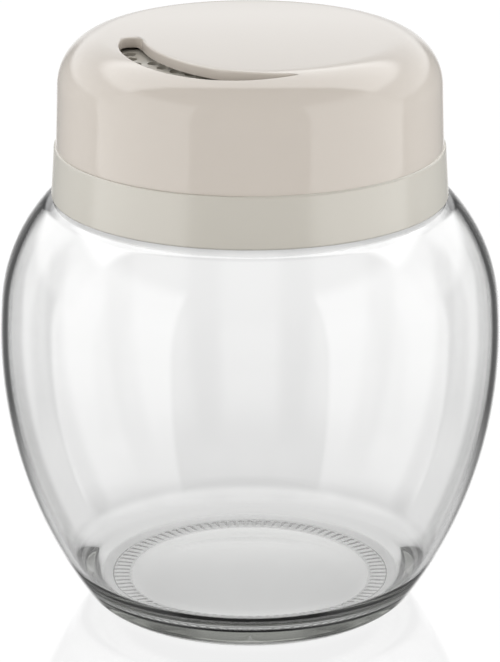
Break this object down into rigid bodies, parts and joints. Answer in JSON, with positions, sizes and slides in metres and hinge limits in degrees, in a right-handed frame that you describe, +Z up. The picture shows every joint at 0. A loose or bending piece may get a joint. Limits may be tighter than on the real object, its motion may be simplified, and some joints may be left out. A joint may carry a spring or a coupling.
{
  "type": "spice jar",
  "caption": "Round-bellied clear glass spice jar with a screw-on sifter lid and a turning cap whose crescent slot opens over sifter holes or a pour opening.",
  "frame": {"origin": "centre of the foot, on the surface the jar stands on", "axes": "+Z up along the jar's axis; the crescent slot lies to the front left, towards -X and -Y, at rest"},
  "size_m": [0.094, 0.094, 0.1106],
  "materials": {
    "clear_glass": "clear polished flint glass",
    "seal_foam": "soft white closed-cell foam",
    "lid_plastic": "warm light grey moulded polypropylene, semi-gloss",
    "cap_plastic": "warm light grey moulded polypropylene, glossy"
  },
  "bodies": {
    "jar": {"glass_jar": "clear_glass"},
    "seal": {"seal_ring": "seal_foam"},
    "lid": {"sifter_lid": "lid_plastic"},
    "cap": {"turning_cap": "cap_plastic"}
  },
  "joints": [
    {"name": "lid_lift", "type": "slide", "parent": "jar", "child": "seal", "axis": [0, 0, 1], "range_m": [0, 0.0168]},
    {"name": "lid_unscrew", "type": "hinge", "parent": "seal", "child": "lid", "pos_m": [0, 0, 0.088], "axis": [0, 0, 1], "range_deg": [0, 1440]},
    {"name": "cap_turn", "type": "hinge", "parent": "lid", "child": "cap", "pos_m": [0, 0, 0.0897], "axis": [0, 0, 1], "range_deg": [-110, 110]}
  ],
  "couplings": [
    {"joint": "lid_lift", "follows": "lid_unscrew", "m_per_rad": 0.00066845}
  ]
}
